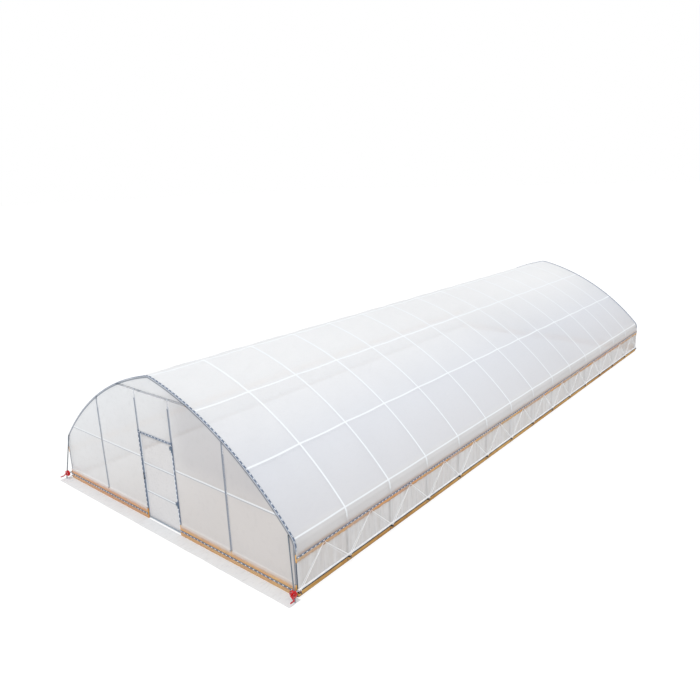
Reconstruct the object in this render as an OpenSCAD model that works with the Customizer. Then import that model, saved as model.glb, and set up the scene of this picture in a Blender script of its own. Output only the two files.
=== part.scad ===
// Polytunnel greenhouse: round hoops on straight legs, a film cover, roll-up sides and a hinged door.
// Millimetres, +Z up, +Y from the door wall to the back wall, X across the tunnel.

/* [Tunnel] */
// Width between the centre lines of the hoop legs
tunnel_w = 8000; // [6000:50:9600]
// Number of bays between hoops
bay_n = 14; // [4:1:16]
// Length of one bay, from hoop to hoop
bay_l = 1400; // [1000:10:1700]
// Height where the straight line of a leg crosses the line of the bow
knee_h = 1085; // [950:5:1400]
// Height where the two bow lines cross over the middle
ridge_h = 3410; // [2900:5:4100]
// Rise of each bow above a straight line from knee to ridge
bow_rise = 370; // [200:5:450]
// Bend radius of the hoop tube at the knee, on its centre line
knee_r = 260; // [150:5:400]
// Bend radius of the hoop tube at the ridge, on its centre line
peak_r = 500; // [200:10:900]

/* [Tubes and film] */
// Outer diameter of the hoops and the end posts
hoop_d = 42; // [32:1:60]
// Outer diameter of the purlins, girts, collars and base rails
purlin_d = 32; // [25:1:42]
// Distance of the upper purlins from the middle
upper_purlin_x = 1460; // [1250:10:1700]
// Distance of the lower purlins from the middle
lower_purlin_x = 2880; // [2400:10:3200]
// Thickness that stands in for the plastic film
film_t = 4; // [3:0.5:6]
// Gap left where a round piece or a film lies against its neighbour
seat = 0.3; // [0.2:0.05:0.5]

/* [Boards and lock channels] */
// Thickness of every timber board
board_t = 25; // [18:1:38]
// Height of the hip board on each side
hip_board_h = 160; // [120:5:220]
// Height of the hip board's top edge above the ground
hip_top = 850; // [700:5:900]
// Height of the boards along the foot of the two sides
side_board_h = 85; // [60:5:150]
// Height of the boards along the foot of the two end walls
end_board_h = 240; // [160:5:300]
// Width of a lock channel
channel_w = 30; // [24:1:40]
// Depth of a lock channel
channel_h = 12; // [9:0.5:16]

/* [Door and end walls] */
// Distance between the centre lines of the door posts
door_post_gap = 1200; // [900:10:1500]
// Height of the door header's centre line
header_z = 2086; // [1900:5:2250]
// Distance of the side posts from the middle
side_post_x = 2240; // [1600:10:2600]
// Height of the girt that crosses each end wall
girt_z = 1505; // [1300:5:1700]
// Height of the collar tie near the ridge
collar_z = 3050; // [2600:5:3100]
// Side of the square tube of the door leaf
leaf_tube = 30; // [25:1:40]
// Heights of the two cross bars of the door leaf
leaf_bars = [696, 1374]; // [500:2:1600]
// Gap between the door leaf and the posts on both sides
leaf_gap = 10; // [8:1:15]
// Width of the film strip that lies on the ground before the door wall
skirt_w = 300; // [200:10:400]

/* [Roll-up sides] */
// Diameter of the roll tube with the film that is wrapped round it
roll_d = 50; // [42:1:60]
// Diameter of the zigzag rope that holds the side film
rope_d = 12; // [8:1:14]
// Diameter of the guide poles of the winches
pole_d = 24; // [20:1:30]
// Radius of the winch housing
winch_r = 70; // [42:1:75]
// Length of the crank arm, from shaft to grip
crank_l = 105; // [80:5:120]
// Angle of the right crank arm at rest, from straight outwards
crank_a = -40; // [-90:5:90]

/* [Hidden] */
// Fineness of the long bends and of small round pieces
bend_fn = 240;
round_fn = 48;
rope_fn = 8;
knee_strips = 12;
bow_strips = 44;
peak_strips = 4;

// The bow of each side is one arc. Its centre lies below the ground beyond the middle.
length = bay_n * bay_l;
half_w = tunnel_w / 2;
hoop_r = hoop_d / 2;
tube_wall = 2;
spigot_r = hoop_r - tube_wall;
spigot_half = 15;
purlin_r = purlin_d / 2;
chord = norm([half_w, ridge_h - knee_h]);
bow_r = (chord * chord / 4 + bow_rise * bow_rise) / (2 * bow_rise);
bow_c = [half_w / 2 - (ridge_h - knee_h) / chord * (bow_r - bow_rise),
         (ridge_h + knee_h) / 2 - half_w / chord * (bow_r - bow_rise)];
// The knee bend touches the leg and the bow; the ridge bend touches both bows.
knee_c = [half_w - knee_r, bow_c[1] + sqrt(pow(bow_r - knee_r, 2) - pow(half_w - knee_r - bow_c[0], 2))];
knee_a = atan2(knee_c[1] - bow_c[1], knee_c[0] - bow_c[0]);
peak_c = [0, bow_c[1] + sqrt(pow(bow_r - peak_r, 2) - pow(bow_c[0], 2))];
peak_a = atan2(peak_c[1] - bow_c[1], -bow_c[0]);

// Height of the bow at distance x from the middle, and distance at height z, moved out by off
function bow_z(x, off = 0) = bow_c[1] + sqrt(pow(bow_r + off, 2) - pow(x - bow_c[0], 2));
function bow_x(z, off = 0) = bow_c[0] + sqrt(pow(bow_r + off, 2) - pow(z - bow_c[1], 2));
// Point on the bow whose centre line is x from the middle, moved out by off
function on_bow(x, off) = let (a = acos((x - bow_c[0]) / bow_r))
    [bow_c[0] + (bow_r + off) * cos(a), bow_c[1] + (bow_r + off) * sin(a)];
// Angle that a short length takes up on an arc
function turn(l, r) = l / r * 180 / PI;
function arc_points(c, r, a0, a1, n) = [for (i = [0:n]) let (a = a0 + (a1 - a0) * i / n)
    [c[0] + r * cos(a), c[1] + r * sin(a)]];

// Gap between the roof film and the arch channels, which clears the flat strips of the film
arch_seat = 0.8;

// Layers across the end walls, counted outwards from the plane of the end hoops
film_in = hoop_r + seat;
film_out = film_in + film_t;
behind_y = hoop_r + seat + purlin_r;
board_out = hoop_r + seat + board_t;
cover_in = board_out + seat;
cover_out = cover_in + film_t;
end_reach = cover_out + seat + channel_h;
// The strip on the ground reaches furthest forward, and the back wall's channel furthest back
skirt_reach = cover_out + seat + skirt_w;
front_y = -(length + end_reach - skirt_reach) / 2;

hip_channel_z = hip_top - hip_board_h / 3;
side_plane = half_w + cover_in;
clamp_w = 60;
clamp_h = purlin_d + 4;
clamp_reach = 57;
rope_r = rope_d / 2;
knot_d = 1.5 * rope_d;
rope_top = [half_w + cover_out + seat + channel_h / 2, hip_channel_z - channel_w / 2 - seat - knot_d / 2];
rail_z = side_board_h + seat + purlin_r;
roll_r = roll_d / 2;
roll_x = side_plane + film_t / 2;
roll_z = side_board_h + seat + clamp_h + seat + roll_r;
rope_foot = [half_w + hoop_r + seat + clamp_reach + seat + rope_r, side_board_h + seat + clamp_h];

// Winch: housing on the end of the roll tube, carried by a leaning guide pole
winch_back = 120;
winch_t = 60;
winch_boss = 20;
skirt_t = 3;
skirt_side = 150;
pole_r = pole_d / 2;
foot_lift = 2.2;
pole_foot = [half_w + 100, -168, skirt_t + seat + foot_lift];
pole_top_z = knee_h + 115;
pole_top = [bow_x(pole_top_z), -film_out - seat - pole_r, pole_top_z];
pole_run = pole_top - pole_foot;
pole_at_winch = pole_foot + pole_run * (roll_z - pole_foot[2]) / pole_run[2];
sleeve_w = pole_d + 12;
sleeve_h = 130;
shaft_r = 8;
shaft_in = 15;
boss_r = 18;
run_gap = 0.05;
arm_gap = 10;
arm_t = 12;
arm_w = 24;
grip_r = 11;
grip_l = 90;

// Door: the hinge axis stands in front of the gap between the leaf and the right post
post_x = door_post_gap / 2;
opening_x = post_x - hoop_r;
leaf_x = opening_x - leaf_gap;
leaf_bottom = purlin_d + 13;
leaf_film_edge = 9;
leaf_top = header_z - hoop_r - leaf_gap;
leaf_half = leaf_tube / 2;
leaf_film_out = leaf_half + seat + film_t;
door_channel_w = 24;
hinge_pin_r = 5;
knuckle_r = 8;
knuckle_gap = 4;
knuckle_sink = 2.3;
lug_gap = 1;
hinge_x = leaf_x + leaf_gap / 2;
// The knuckle stands clear of the leaf's film, and the lugs clear of the wall's film
hinge_y = -max(leaf_film_out + knuckle_r + knuckle_gap, film_out + hinge_pin_r + lug_gap);
hinge_z = [leaf_bars[0], leaf_top - 90];
bracket_half = 70;
bracket_w = 24;
bracket_t = 4;
lug_t = 10;
lug_side = 7;
knuckle_half = 50;
strap_l = 75;
strap_end = 10;
handle_z = 1050;
handle_out = 60;
handle_l = 160;
handle_r = 6;
stud_r = 5;
stud_z = 60;

// Shares of a lock channel's width that its groove takes at the mouth and at the floor
groove_mouth = 0.52;
groove_floor = 0.8;
channel_back = 3;

// Corners of a chain of straight strips that touch an arc from outside
function tangent_points(c, r, a0, a1, n) = [for (i = [0:n - 1])
    let (step = (a1 - a0) / n, a = a0 + (i + 0.5) * step, out = r / cos(step / 2))
    [c[0] + out * cos(a), c[1] + out * sin(a)]];

module place() translate([0, front_y, 0]) children();
module left_side() mirror([1, 0, 0]) children();
module back_end() translate([0, length, 0]) mirror([0, 1, 0]) children();

// Sweeps a profile along an arc in the XZ plane. In the profile, x points outwards and y runs along +Y.
module arc_sweep(c, r, a0, a1)
    translate([c[0], 0, c[1]]) rotate([90, 0, 0]) rotate([0, 0, a0])
        rotate_extrude(angle = a1 - a0, $fn = bend_fn) translate([r, 0]) mirror([0, 1]) children();

// Sweeps a profile along the whole hoop line, from foot_z on one side to foot_z on the other.
// With a gap, the straight and bent lengths are separate pieces that butt together.
module hoop_sweep(foot_z, gap = 0) {
    for (side = [0, 1]) mirror([side, 0, 0]) {
        translate([half_w, 0, foot_z]) linear_extrude(knee_c[1] - foot_z - gap) children();
        arc_sweep(knee_c, knee_r, 0, knee_a) children();
        arc_sweep(bow_c, bow_r, knee_a + turn(gap, bow_r), peak_a - turn(gap, bow_r)) children();
    }
    arc_sweep(peak_c, peak_r, peak_a, 180 - peak_a) children();
}

// A hoop: straight legs and bent lengths of tube that push together on inner spigots
module hoop() {
    hoop_sweep(0, seat) circle(r = hoop_r, $fn = round_fn);
    for (side = [0, 1]) mirror([side, 0, 0]) {
        spigot([half_w, 0, knee_c[1]], 0);
        spigot(on_arc(bow_c, bow_r, knee_a), knee_a);
        spigot(on_arc(bow_c, bow_r, peak_a), peak_a);
    }
}
function on_arc(c, r, a) = [c[0] + r * cos(a), 0, c[1] + r * sin(a)];
module spigot(p, a) translate(p) rotate([0, -a, 0])
    cylinder(r = spigot_r, h = 2 * spigot_half, center = true, $fn = round_fn);

// Round tube along +Y over the whole length, centred on the point [x, z]
module long_tube(p, d, y0 = -hoop_r, y1 = length + hoop_r)
    translate([p[0], y0, p[1]]) rotate([-90, 0, 0]) cylinder(d = d, h = y1 - y0, $fn = round_fn);

// Round tube along X from x0 to x1
module cross_tube(x0, x1, y, z, d)
    translate([x0, y, z]) rotate([0, 90, 0]) cylinder(d = d, h = x1 - x0, $fn = round_fn);

// Straight bar between two points
module rod(p, q, r, fn = round_fn) translate(p) point_along(q - p) cylinder(r = r, h = norm(q - p), $fn = fn);
module point_along(v) rotate([0, acos(v[2] / norm(v)), atan2(v[1], v[0])]) children();

// Lock channel: a flat strip with a dovetail groove that is open outwards. x points out of the groove.
module channel_profile(w = channel_w)
    polygon([[0, -w / 2], [channel_h, -w / 2],
             [channel_h, -groove_mouth * w / 2], [channel_back, -groove_floor * w / 2],
             [channel_back, groove_floor * w / 2], [channel_h, groove_mouth * w / 2],
             [channel_h, w / 2], [0, w / 2]]);

// ---- hoops and long tubes ----
module front_hoop() color("lightsteelblue") place() hoop();
module inner_hoops() color("lightsteelblue") place()
    for (i = [1:bay_n - 1]) translate([0, i * bay_l, 0]) hoop();
module back_hoop() color("lightsteelblue") place() translate([0, length, 0]) hoop();

module ridge_purlin() color("gainsboro") place() long_tube([0, peak_c[1] + peak_r - behind_y], purlin_d);
module purlin_pair(p) color("gainsboro") place() for (s = [-1, 1]) long_tube([s * p[0], p[1]], purlin_d);
module upper_purlins() purlin_pair(on_bow(upper_purlin_x, -behind_y));
module lower_purlins() purlin_pair(on_bow(lower_purlin_x, -behind_y));
module knee_rails() purlin_pair(knee_c + (knee_r - behind_y) * [cos(knee_a / 2), sin(knee_a / 2)]);

// ---- boards, rails and channels along the sides ----
module hip_board() color("peru") place()
    translate([half_w + hoop_r + seat, -hoop_r, hip_top - hip_board_h])
        cube([board_t, length + hoop_d, hip_board_h]);
module hip_channel() color("slategray") place()
    translate([half_w + cover_out + seat, length + hoop_r, hip_channel_z]) rotate([90, 0, 0])
        linear_extrude(length + hoop_d) channel_profile();
module base_board() color("goldenrod") place()
    translate([half_w + hoop_r + seat, -hoop_r, 0]) cube([board_t, length + hoop_d, side_board_h]);
module base_rail() color("steelblue") place() long_tube([half_w + behind_y, rail_z], purlin_d);
module rail_clamps() color("dimgray") place()
    for (i = [0:bay_n]) translate([half_w + hoop_r + seat, i * bay_l, side_board_h + seat]) difference() {
        translate([0, -clamp_w / 2, 0]) cube([clamp_reach, clamp_w, clamp_h]);
        translate([purlin_r, -clamp_w, purlin_r]) rotate([-90, 0, 0])
            cylinder(r = purlin_r + seat, h = 2 * clamp_w, $fn = round_fn);
        translate([-1, -clamp_w, -1]) cube([purlin_r + 1, 2 * clamp_w, purlin_r + 1]);
    }

// ---- roll-up side: film, roll tube, rope ----
module curtain() color("gainsboro", 0.6) place()
    translate([side_plane, -hoop_r, roll_z + roll_r + seat])
        cube([film_t, length + hoop_d, hip_channel_z - seat / 2 - roll_z - roll_r - seat]);
module roll_tube() color("white") place() long_tube([roll_x, roll_z], roll_d, -winch_back, length + 60);
module knot(p) translate(p - [rope_r, 0, 0]) rotate([0, 90, 0])
    cylinder(d = knot_d, h = rope_d, $fn = rope_fn);
module rope() color("white") place() for (i = [0:bay_n - 1]) {
    foot_a = [rope_foot[0], i * bay_l, rope_foot[1]];
    top = [rope_top[0], (i + 0.5) * bay_l, rope_top[1]];
    foot_b = [rope_foot[0], (i + 1) * bay_l, rope_foot[1]];
    rod(foot_a, top, rope_r, rope_fn);
    rod(top, foot_b, rope_r, rope_fn);
    knot(top);
    knot(foot_b);
    if (i == 0) knot(foot_a);
}

// ---- winch, crank and guide pole at each front corner ----
module guide_pole() color("lightsteelblue") place() rod(pole_foot, pole_top, pole_r);
module winch() color("firebrick") place() difference() {
    union() {
        // The housing's parting line faces inwards, clear of the sleeve
        winch_axis(0) rotate([0, 0, 180]) cylinder(r = winch_r, h = winch_t, $fn = round_fn);
        winch_axis(0) cylinder(r = boss_r, h = winch_t + winch_boss, $fn = round_fn);
        translate(pole_at_winch) point_along(pole_run) cube([sleeve_w, sleeve_w, sleeve_h], center = true);
    }
    translate(pole_at_winch) point_along(pole_run)
        cylinder(r = pole_r + seat, h = 2 * sleeve_h, center = true, $fn = round_fn);
    winch_axis(winch_t + winch_boss - 2 * shaft_in)
        cylinder(r = shaft_r + run_gap, h = 3 * shaft_in, $fn = round_fn);
}
// The winch's axis, pointing out of its front, from a start set off along it
module winch_axis(start) translate([roll_x, -winch_back - start, roll_z]) rotate([90, 0, 0]) children();
module crank(a) color("crimson") place() winch_axis(winch_t + winch_boss) {
    translate([0, 0, -shaft_in]) cylinder(r = shaft_r, h = shaft_in + arm_gap + arm_t / 2, $fn = round_fn);
    rotate([0, 0, a]) translate([0, 0, arm_gap]) {
        cylinder(d = arm_w, h = arm_t, $fn = round_fn);
        translate([crank_l, 0, 0]) cylinder(d = arm_w, h = arm_t, $fn = round_fn);
        translate([0, -arm_w / 2, 0]) cube([crank_l, arm_w, arm_t]);
        translate([crank_l, 0, arm_t / 2]) cylinder(r = grip_r, h = grip_l, $fn = round_fn);
    }
}

// ---- film cover ----
// Roof film: over the hoops, out over the hip boards' top edges and down to the hip channels.
// Its cross-section is drawn in flat strips that touch the round of the hoops.
function mirrored(points) = [for (i = [len(points) - 1:-1:0]) [-points[i][0], points[i][1]]];
function reversed(points) = [for (i = [len(points) - 1:-1:0]) points[i]];
function roof_line(off, hip_off, hip_z) =
    let (right = concat(
        [[half_w + hip_off, hip_channel_z + seat / 2], [half_w + hip_off, hip_z], [half_w + off, hip_z]],
        tangent_points(knee_c, knee_r + off, 0, knee_a, knee_strips),
        tangent_points(bow_c, bow_r + off, knee_a, peak_a, bow_strips),
        tangent_points(peak_c, peak_r + off, peak_a, 90, peak_strips)))
    concat(right, mirrored(right));
module roof_film() color("white", 0.6) place() translate([0, length + film_out, 0]) rotate([90, 0, 0])
    linear_extrude(length + 2 * film_out)
        polygon(concat(roof_line(film_in, cover_in, hip_top + seat),
            reversed(roof_line(film_out, cover_out, hip_top + seat + film_t))));
// Outline of an end wall above height z0, out to the outer side of the hoop
module wall_outline(z0) {
    right = concat(
        arc_points(knee_c, knee_r + hoop_r, 0, knee_a, knee_strips),
        arc_points(bow_c, bow_r + hoop_r, knee_a, peak_a, bow_strips),
        arc_points(peak_c, peak_r + hoop_r, peak_a, 90, peak_strips));
    polygon(concat([[half_w + hoop_r, z0]], right,
        [for (i = [len(right) - 2:-1:0]) [-right[i][0], right[i][1]]], [[-half_w - hoop_r, z0]]));
}
// Part of an end wall film from x0 to x1 above z0, with a strip that covers the base board's face
module wall_film(x0, x1, z0, over_board) {
    translate([0, -film_in, 0]) rotate([90, 0, 0]) linear_extrude(film_t) intersection() {
        wall_outline(z0);
        translate([x0, z0]) square([x1 - x0, ridge_h + hoop_d]);
    }
    if (over_board) {
        translate([x0, -cover_out, z0]) cube([x1 - x0, cover_out - film_in, film_t]);
        translate([x0, -cover_out, 0]) cube([x1 - x0, film_t, z0 + film_t]);
    }
}
wall_half = half_w + hoop_r;
module front_film_left() color("gainsboro", 0.6) place()
    wall_film(-wall_half, -post_x - seat / 2, end_board_h + seat, true);
module front_film_right() color("gainsboro", 0.6) place()
    wall_film(post_x + seat / 2, wall_half, end_board_h + seat, true);
module front_film_over_door() color("gainsboro", 0.6) place()
    wall_film(-post_x + seat / 2, post_x - seat / 2, header_z, false);
module back_film() color("gainsboro", 0.6) place() back_end()
    wall_film(-wall_half, wall_half, end_board_h + seat, true);
module front_skirt() color("whitesmoke") place()
    translate([-half_w - skirt_side, -skirt_reach, 0]) cube([tunnel_w + 2 * skirt_side, skirt_w, skirt_t]);

// ---- lock channels round the end walls ----
module arch_channel() hoop_sweep(hip_top + 2 * seat + film_t, seat)
    translate([film_out + arch_seat, 0]) channel_profile();
module front_arch_channel() color("slategray") place() arch_channel();
module back_arch_channel() color("slategray") place() back_end() arch_channel();
module base_channel(x0, x1)
    translate([x0, -cover_out - seat, end_board_h / 2]) rotate([90, 0, 90]) mirror([1, 0])
        linear_extrude(x1 - x0) channel_profile();
module front_base_channels() color("slategray") place() {
    base_channel(-wall_half, -post_x);
    base_channel(post_x, wall_half);
}
module back_base_channel() color("slategray") place() back_end() base_channel(-wall_half, wall_half);
module door_channels() color("slategray") place() {
    for (s = [-1, 1]) translate([s * post_x, -film_out - seat, end_board_h + 2 * seat + film_t])
        rotate([0, 0, -90]) linear_extrude(header_z + channel_w - end_board_h)
            channel_profile(door_channel_w);
    translate([-post_x + door_channel_w / 2, -film_out - seat, header_z]) rotate([90, 0, 90]) mirror([1, 0])
        linear_extrude(door_post_gap - door_channel_w) channel_profile(door_channel_w);
}

// ---- end wall frames ----
module post(x, top) translate([x, 0, 0]) cylinder(r = hoop_r, h = top, $fn = round_fn);
module end_posts(middle_top) for (s = [-1, 1]) {
    post(s * post_x, middle_top);
    post(s * side_post_x, bow_z(side_post_x + hoop_r, -hoop_r) - seat);
}
module front_posts() color("lightsteelblue") place() end_posts(collar_z + purlin_r);
module back_posts() color("lightsteelblue") place() back_end() end_posts(collar_z + purlin_r);
module front_girts() color("gainsboro") place() for (s = [0, 1]) mirror([s, 0, 0])
    cross_tube(post_x - hoop_r, bow_x(girt_z), behind_y, girt_z, purlin_d);
module back_girt() color("gainsboro") place() back_end()
    cross_tube(-bow_x(girt_z), bow_x(girt_z), behind_y, girt_z, purlin_d);
module collar() cross_tube(-bow_x(collar_z), bow_x(collar_z), behind_y, collar_z, purlin_d);
module front_collar() color("lightsteelblue") place() collar();
module back_collar() color("lightsteelblue") place() back_end() collar();
module end_board(x0, x1) translate([x0, -board_out, 0]) cube([x1 - x0, board_t, end_board_h]);
module front_base_boards() color("peru") place() {
    end_board(-wall_half, -post_x);
    end_board(post_x, wall_half);
}
module back_base_board() color("peru") place() back_end() end_board(-wall_half, wall_half);

// ---- doorway and door ----
// Rail between the door posts, hollowed at its ends to sit against them
module door_rail(z, d) difference() {
    cross_tube(-post_x, post_x, 0, z, d);
    for (s = [-1, 1]) translate([s * post_x, 0, z - d])
        cylinder(r = hoop_r + seat, h = 2 * d, $fn = round_fn);
}
module door_header() color("slategray") place() door_rail(header_z, hoop_d);
module door_threshold() color("gainsboro") place() door_rail(purlin_r, purlin_d);
module door_leaf() color("steelblue") place() difference() {
    translate([-leaf_x, -leaf_half, leaf_bottom]) cube([2 * leaf_x, leaf_tube, leaf_top - leaf_bottom]);
    rails = [leaf_bottom + leaf_half, leaf_bars[0], leaf_bars[1], leaf_top - leaf_half];
    for (i = [0:2]) translate([-leaf_x + leaf_tube, -leaf_tube, rails[i] + leaf_half])
        cube([2 * (leaf_x - leaf_tube), 2 * leaf_tube, rails[i + 1] - rails[i] - leaf_tube]);
}
module door_film() color("gainsboro", 0.6) place()
    translate([-leaf_x + leaf_film_edge, -leaf_film_out, leaf_bottom + leaf_film_edge])
        cube([2 * (leaf_x - leaf_film_edge), film_t, leaf_top - leaf_bottom - 2 * leaf_film_edge]);
// Upright round on the hinge axis, half its height above and half below
module hinge_round(r, half) translate([hinge_x, hinge_y, -half])
    cylinder(r = r, h = 2 * half, $fn = round_fn);
module hinge_brackets() color("dimgray") place() for (z = hinge_z) translate([0, 0, z]) {
    plate_out = -film_out - seat - channel_h - seat - bracket_t;
    hinge_round(hinge_pin_r, bracket_half);
    translate([post_x - bracket_w / 2, plate_out, -bracket_half])
        cube([bracket_w, bracket_t, 2 * bracket_half]);
    // Each lug runs back to the pin beside the lock channel, and joins the plate in front of it
    lug_back = post_x - door_channel_w / 2 - seat - hinge_x + lug_side;
    for (lug_z = [-bracket_half, bracket_half - lug_t]) translate([hinge_x - lug_side, plate_out, lug_z]) {
        cube([lug_back, hinge_y + hinge_pin_r - plate_out, lug_t]);
        cube([post_x - hinge_x + lug_side, bracket_t, lug_t]);
    }
}
module hinge_straps() color("dimgray") place() for (z = hinge_z) translate([0, 0, z]) difference() {
    union() {
        hinge_round(knuckle_r, knuckle_half);
        // The strap lies on the leaf's film and runs into the knuckle
        strap_out = -hinge_y - knuckle_r + knuckle_sink;
        translate([hinge_x - strap_l, -strap_out, strap_end - knuckle_half])
            cube([strap_l, strap_out - leaf_film_out - seat, 2 * (knuckle_half - strap_end)]);
    }
    hinge_round(hinge_pin_r + run_gap, bracket_half);
}
module door_handle() color("dimgray") place() translate([-leaf_x + leaf_half, 0, handle_z]) {
    translate([0, -handle_out, -handle_l / 2]) cylinder(r = handle_r, h = handle_l, $fn = round_fn);
    for (z = [-stud_z, stud_z]) translate([0, -handle_out, z]) rotate([-90, 0, 0])
        cylinder(r = stud_r, h = handle_out - leaf_film_out - seat, $fn = round_fn);
}

front_hoop();
inner_hoops();
back_hoop();
ridge_purlin();
upper_purlins();
lower_purlins();
knee_rails();
left_side() hip_board();  // left_hip_board
hip_board();  // right_hip_board
left_side() hip_channel();  // left_hip_channel
hip_channel();  // right_hip_channel
left_side() base_board();  // left_base_board
base_board();  // right_base_board
left_side() base_rail();  // left_base_rail
base_rail();  // right_base_rail
left_side() rail_clamps();  // left_rail_clamps
rail_clamps();  // right_rail_clamps
left_side() curtain();  // left_curtain
curtain();  // right_curtain
left_side() roll_tube();  // left_roll_tube
roll_tube();  // right_roll_tube
left_side() rope();  // left_rope
rope();  // right_rope
left_side() guide_pole();  // left_guide_pole
guide_pole();  // right_guide_pole
left_side() winch();  // left_winch
winch();  // right_winch
left_side() crank(crank_a);  // left_crank
crank(crank_a);  // right_crank
roof_film();
front_film_left();
front_film_right();
front_film_over_door();
back_film();
front_arch_channel();
back_arch_channel();
front_posts();
back_posts();
front_girts();
back_girt();
front_collar();
back_collar();
door_header();
door_threshold();
door_channels();
front_base_boards();
back_base_board();
front_base_channels();
back_base_channel();
front_skirt();
door_leaf();
door_film();
hinge_brackets();
hinge_straps();
door_handle();
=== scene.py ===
"""A polytunnel greenhouse: film over round steel hoops, roll-up sides and a hinged door in the front wall."""

from math import acos, atan2, cos, exp, hypot, pi, radians, sin, sqrt, tau

import bmesh
import bpy
from mathutils import Matrix, Vector, noise


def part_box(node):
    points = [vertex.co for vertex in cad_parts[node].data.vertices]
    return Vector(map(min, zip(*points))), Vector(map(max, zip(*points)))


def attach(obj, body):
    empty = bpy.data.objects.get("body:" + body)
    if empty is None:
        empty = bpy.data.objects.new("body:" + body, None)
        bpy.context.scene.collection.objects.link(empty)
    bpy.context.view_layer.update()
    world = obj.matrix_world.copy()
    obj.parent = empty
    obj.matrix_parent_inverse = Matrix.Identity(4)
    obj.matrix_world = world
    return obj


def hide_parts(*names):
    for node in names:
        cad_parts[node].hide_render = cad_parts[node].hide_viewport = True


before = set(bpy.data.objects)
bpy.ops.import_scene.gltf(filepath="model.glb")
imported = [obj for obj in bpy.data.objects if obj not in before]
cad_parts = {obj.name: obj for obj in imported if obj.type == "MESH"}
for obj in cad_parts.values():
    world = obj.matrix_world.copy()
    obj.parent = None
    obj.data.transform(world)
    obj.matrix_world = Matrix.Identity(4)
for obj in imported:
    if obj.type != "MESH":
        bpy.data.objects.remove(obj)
scene = bpy.context.scene
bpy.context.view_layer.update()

# ---- Camera: it stands beyond the front right corner, above the ridge, and looks along the tunnel
move = Matrix.Translation
camera_place = Vector((11.1625, -16.4354, 7.1936))
camera_look = Vector((-0.62283, 0.73704, -0.2624))
camera_roll = radians(-2.06)
camera = bpy.data.objects.new("camera", bpy.data.cameras.new("camera"))
camera.data.lens = 32.54
camera.data.clip_end = 500
camera.matrix_world = (move(camera_place)
                       @ camera_look.to_track_quat("-Z", "Y").to_matrix().to_4x4()
                       @ Matrix.Rotation(camera_roll, 4, "Z"))
scene.collection.objects.link(camera)
scene.camera = camera
scene.view_settings.view_transform = "Standard"


# ---- Shader maths: a wrapped socket, so that a material reads as sums of named masks
class Signal:
    """A shader socket. Python's operators on it add the Math nodes that work them out."""

    def __init__(self, tree, socket):
        self.tree, self.socket = tree, socket

    def node(self, kind, settings, values, out=0):
        """Any node: its type, its settings, then the value or link of each of its sockets."""
        made = self.tree.nodes.new("ShaderNode" + kind)
        for name, value in settings.items():
            if name == "stops":
                stops = made.color_ramp.elements
                while len(stops) < len(value):
                    stops.new(0.5)
                for stop, (place, colour) in zip(stops, value):
                    stop.position, stop.color = place, colour
            else:
                setattr(made, name, value)
        for name, value in values.items():
            if isinstance(value, Signal):
                self.tree.links.new(value.socket, made.inputs[name])
            else:
                made.inputs[name].default_value = value
        return Signal(self.tree, made.outputs[out])

    def maths(self, operation, first, second=0.0):
        return self.node("Math", {"operation": operation}, {0: first, 1: second})

    def __add__(self, other):
        return self.maths("ADD", self, other)

    def __radd__(self, other):
        return self.maths("ADD", other, self)

    def __sub__(self, other):
        return self.maths("SUBTRACT", self, other)

    def __rsub__(self, other):
        return self.maths("SUBTRACT", other, self)

    def __mul__(self, other):
        return self.maths("MULTIPLY", self, other)

    def __rmul__(self, other):
        return self.maths("MULTIPLY", other, self)

    def __truediv__(self, other):
        return self.maths("DIVIDE", self, other)

    def __mod__(self, other):
        return self.maths("FLOORED_MODULO", self, other)

    def __abs__(self):
        return self.maths("ABSOLUTE", self)

    def __pow__(self, other):
        return self.maths("POWER", self, other)

    def most(self, other):
        return self.maths("MAXIMUM", self, other)

    def ease(self, low, high, to_low=0.0, to_high=1.0):
        """Runs smoothly from to_low at low to to_high at high."""
        ends = {"From Min": low, "From Max": high, "To Min": to_low, "To Max": to_high}
        return self.node("MapRange", {"interpolation_type": "SMOOTHSTEP"}, {"Value": self, **ends})

    def band(self, centre, full, clear, peak=1.0):
        """Peak within full of the centre, and from there smoothly down to 0 at clear from it."""
        return abs(self - centre).ease(full, clear, peak, 0.0)

    def mix(self, first, second):
        """A colour that runs from first to second with this signal. Each is a signal or numbers, 0 to 255."""
        first, second = (rgb(*colour) if isinstance(colour, tuple) else colour for colour in (first, second))
        return self.node("Mix", {"data_type": "RGBA"}, {0: self, 6: first, 7: second}, 2)

    def grain(self, size, detail=3.0, stretch=(1, 1, 1)):
        """Soft noise over this place signal, with features of that size in metres."""
        return self.node("TexNoise", {}, {"Vector": self.times(stretch), "Scale": 1 / size, "Detail": detail})

    def times(self, stretch):
        """This place signal, multiplied along each axis."""
        return self.node("VectorMath", {"operation": "MULTIPLY"}, {0: self, 1: stretch})

    def axis(self, name):
        return self.node("SeparateXYZ", {}, {0: self}, name)

    x, y, z = (property(lambda self, name=name: self.axis(name)) for name in "XYZ")


def rgb(red, green, blue):
    """A colour as painters write it, 0 to 255, in the renderer's linear numbers."""
    linear = (((c / 255 + 0.055) / 1.055) ** 2.4 if c > 10 else c / 3295 for c in (red, green, blue))
    return tuple(linear) + (1,)


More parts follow.
